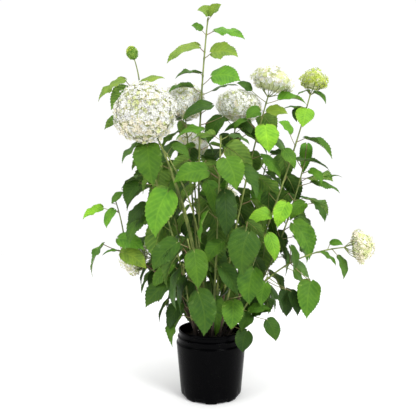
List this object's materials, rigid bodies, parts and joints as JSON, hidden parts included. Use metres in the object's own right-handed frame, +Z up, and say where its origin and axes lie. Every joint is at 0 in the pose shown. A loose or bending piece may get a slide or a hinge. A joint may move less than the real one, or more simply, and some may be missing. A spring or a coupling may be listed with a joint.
{
  "type": "potted hydrangea shrub",
  "caption": "Clump of slender leafy canes with drooping heart-shaped leaves and round white flower heads, growing in a stepped black nursery pot.",
  "frame": {"origin": "centre of the pot's flat underside, on the ground", "axes": "+Z up along the pot's axis, -Y towards the plant's front"},
  "size_m": [0.9253, 0.6598, 1.272],
  "materials": {
    "pot": "satin, near black",
    "potting_mix": "rough, crumbly",
    "cane": "matt bark",
    "leaf": "matt, slightly waxy",
    "leaf_and_flower": "matt"
  },
  "bodies": {
    "root": {"cane_ball": "cane", "cane_bud": "cane", "cane_centre_right": "cane", "cane_front": "cane", "cane_front_left": "cane", "cane_front_right": "cane", "cane_left": "cane", "cane_lime": "cane", "cane_low_left": "cane", "cane_low_rear": "cane", "cane_low_rear_left": "cane", "cane_low_right": "cane", "cane_pot_left": "cane", "cane_pot_right": "cane", "cane_rear": "cane", "cane_rear_left": "cane", "cane_rear_right": "cane", "cane_rear_upper_left": "cane", "cane_right": "cane", "cane_tall": "cane", "cane_upper_right": "cane", "foliage_ball": "leaf_and_flower", "foliage_bud": "leaf_and_flower", "foliage_centre_right": "leaf_and_flower", "foliage_front": "leaf", "foliage_front_left": "leaf", "foliage_front_right": "leaf", "foliage_left": "leaf", "foliage_lime": "leaf_and_flower", "foliage_low_left": "leaf", "foliage_low_rear": "leaf_and_flower", "foliage_low_rear_left": "leaf_and_flower", "foliage_low_right": "leaf_and_flower", "foliage_pot_left": "leaf", "foliage_pot_right": "leaf", "foliage_rear": "leaf_and_flower", "foliage_rear_left": "leaf_and_flower", "foliage_rear_right": "leaf", "foliage_rear_upper_left": "leaf", "foliage_right": "leaf", "foliage_tall": "leaf", "foliage_upper_right": "leaf_and_flower", "pot": "pot", "potting_mix": "potting_mix"}
  },
  "joints": []
}
